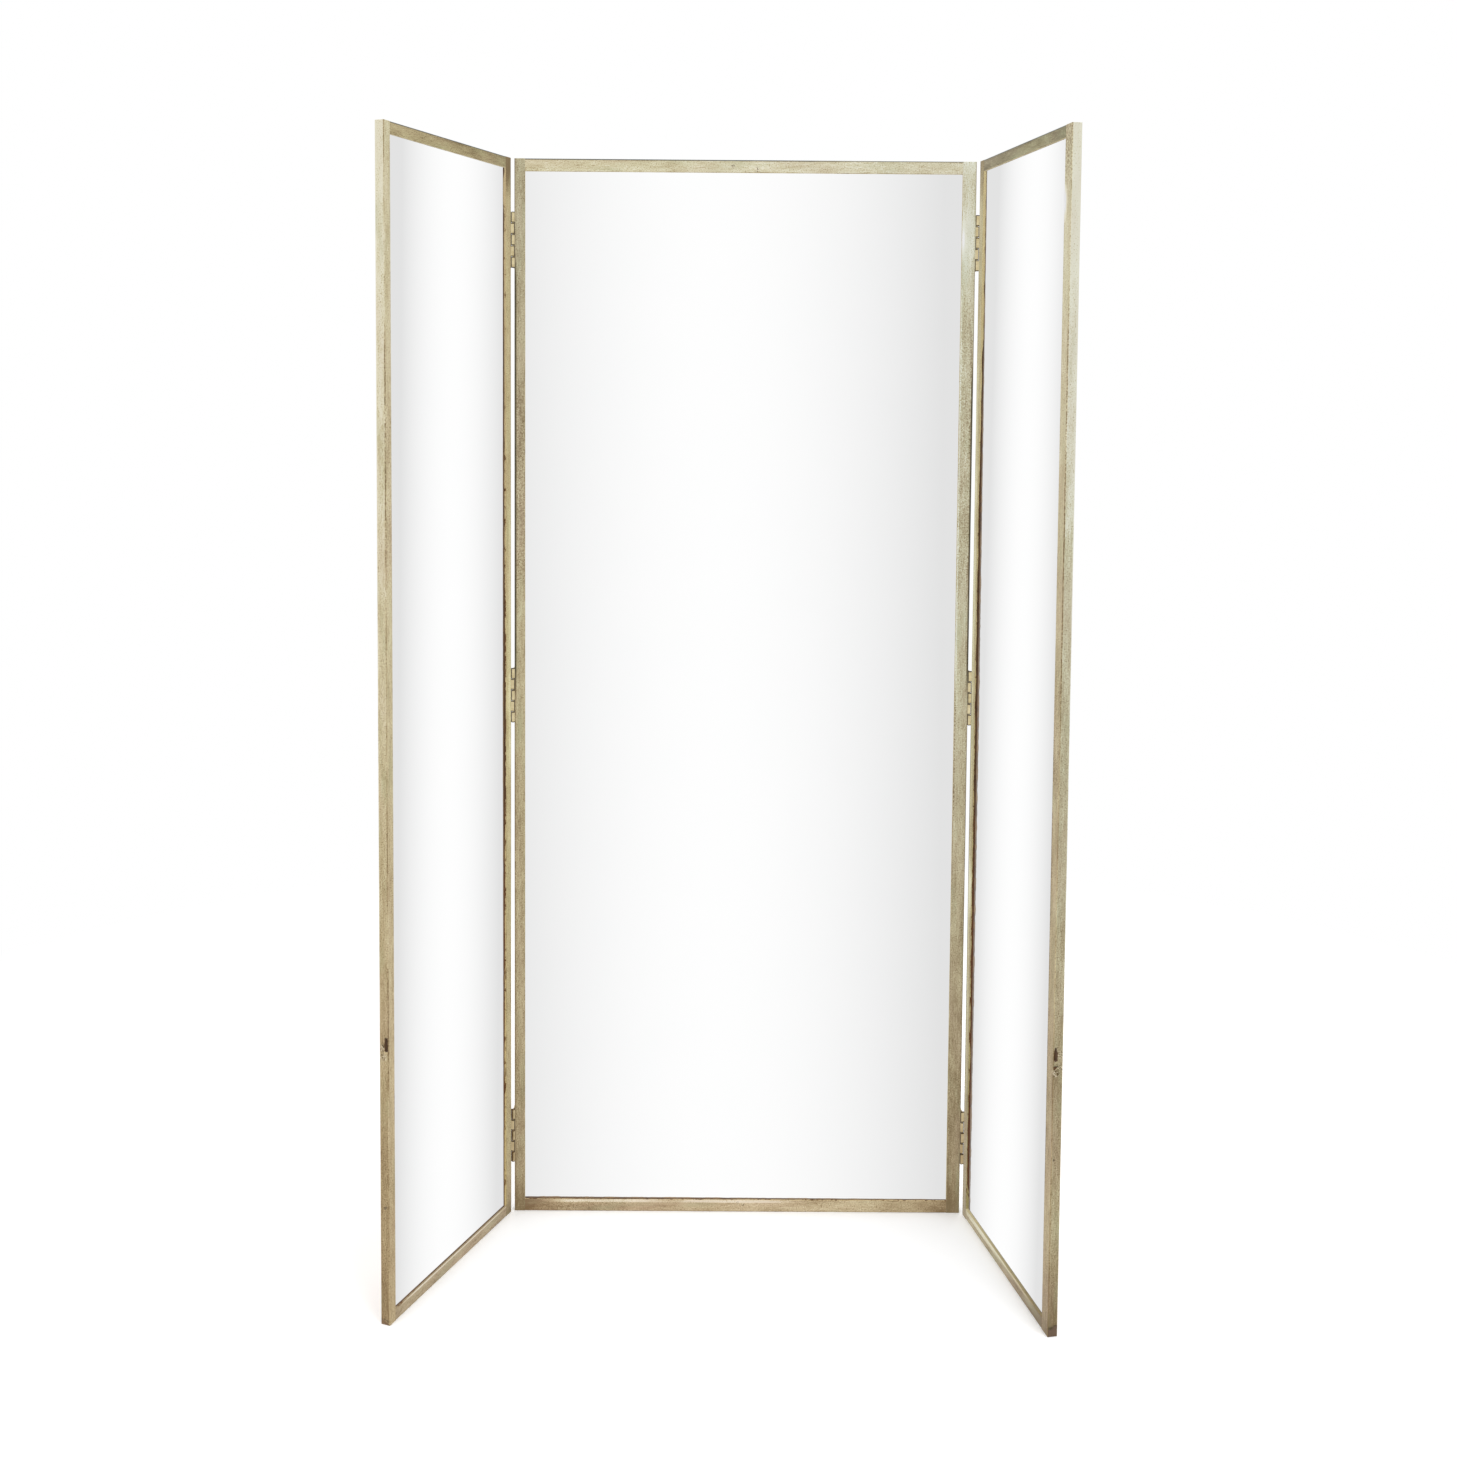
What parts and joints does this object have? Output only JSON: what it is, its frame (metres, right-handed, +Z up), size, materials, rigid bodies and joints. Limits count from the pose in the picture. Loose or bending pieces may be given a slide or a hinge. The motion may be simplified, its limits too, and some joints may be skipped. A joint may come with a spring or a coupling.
{
  "type": "three panel floor mirror",
  "caption": "Full-length folding dressing mirror: a centre panel with a half-width wing hinged to each side, thin brass-clad frames with plain mirror glass.",
  "frame": {"origin": "middle of the centre panel's foot, halfway through its thickness, on the floor", "axes": "+Z up; -Y out of the front of the centre panel, where the viewer stands; +X to the viewer's right"},
  "size_m": [0.9913, 0.3863, 1.75],
  "materials": {
    "brass_sheet": "aged satin brass sheet, brushed lengthwise, with worn bright edges",
    "bare_wood": "old bare hardwood, stained dark",
    "mirror_glass": "plain silvered glass, clear and flat",
    "backing_paper": "brown backing paper",
    "plywood": "aged plywood, unfinished",
    "hinge_brass": "satin brass, lightly tarnished",
    "hinge_screws": "slotted brass wood screws",
    "brass_tacks": "dulled brass",
    "steel_sprigs": "dull bare steel"
  },
  "bodies": {
    "centre_panel": {"centre_left_stile": "bare_wood", "centre_right_stile": "bare_wood", "centre_top_rail": "bare_wood", "centre_bottom_rail": "bare_wood", "centre_left_stile_cladding": "brass_sheet", "centre_right_stile_cladding": "brass_sheet", "centre_top_rail_cladding": "brass_sheet", "centre_bottom_rail_cladding": "brass_sheet", "centre_mirror_glass": "mirror_glass", "centre_backing_sheet": "backing_paper", "centre_back_board": "plywood", "centre_back_sprigs": "steel_sprigs", "centre_cladding_tacks": "brass_tacks", "centre_hinge_screws": "hinge_screws", "left_top_hinge_centre_leaf": "hinge_brass", "left_top_hinge_pin": "hinge_brass", "left_middle_hinge_centre_leaf": "hinge_brass", "left_middle_hinge_pin": "hinge_brass", "left_bottom_hinge_centre_leaf": "hinge_brass", "left_bottom_hinge_pin": "hinge_brass", "right_top_hinge_centre_leaf": "hinge_brass", "right_middle_hinge_centre_leaf": "hinge_brass", "right_bottom_hinge_centre_leaf": "hinge_brass"},
    "left_wing": {"left_wing_outer_stile": "bare_wood", "left_wing_hinge_stile": "bare_wood", "left_wing_top_rail": "bare_wood", "left_wing_bottom_rail": "bare_wood", "left_wing_outer_stile_cladding": "brass_sheet", "left_wing_hinge_stile_cladding": "brass_sheet", "left_wing_top_rail_cladding": "brass_sheet", "left_wing_bottom_rail_cladding": "brass_sheet", "left_wing_mirror_glass": "mirror_glass", "left_wing_backing_sheet": "backing_paper", "left_wing_back_board": "plywood", "left_wing_back_sprigs": "steel_sprigs", "left_wing_cladding_tacks": "brass_tacks", "left_wing_hinge_screws": "hinge_screws", "left_top_hinge_wing_leaf": "hinge_brass", "left_middle_hinge_wing_leaf": "hinge_brass", "left_bottom_hinge_wing_leaf": "hinge_brass"},
    "right_wing": {"right_wing_outer_stile": "bare_wood", "right_wing_hinge_stile": "bare_wood", "right_wing_top_rail": "bare_wood", "right_wing_bottom_rail": "bare_wood", "right_wing_outer_stile_cladding": "brass_sheet", "right_wing_hinge_stile_cladding": "brass_sheet", "right_wing_top_rail_cladding": "brass_sheet", "right_wing_bottom_rail_cladding": "brass_sheet", "right_wing_mirror_glass": "mirror_glass", "right_wing_backing_sheet": "backing_paper", "right_wing_back_board": "plywood", "right_wing_back_sprigs": "steel_sprigs", "right_wing_cladding_tacks": "brass_tacks", "right_wing_hinge_screws": "hinge_screws", "right_top_hinge_wing_leaf": "hinge_brass", "right_top_hinge_pin": "hinge_brass", "right_middle_hinge_wing_leaf": "hinge_brass", "right_middle_hinge_pin": "hinge_brass", "right_bottom_hinge_wing_leaf": "hinge_brass", "right_bottom_hinge_pin": "hinge_brass"}
  },
  "joints": [
    {"name": "left_wing_hinge", "type": "hinge", "parent": "centre_panel", "child": "left_wing", "pos_m": [-0.37595, -0.0099, 0.875], "axis": [0, 0, 1], "range_deg": [-68.5, 111.5]},
    {"name": "right_wing_hinge", "type": "hinge", "parent": "centre_panel", "child": "right_wing", "pos_m": [0.37595, -0.0099, 0.875], "axis": [0, 0, -1], "range_deg": [-79.5, 100.5]}
  ]
}
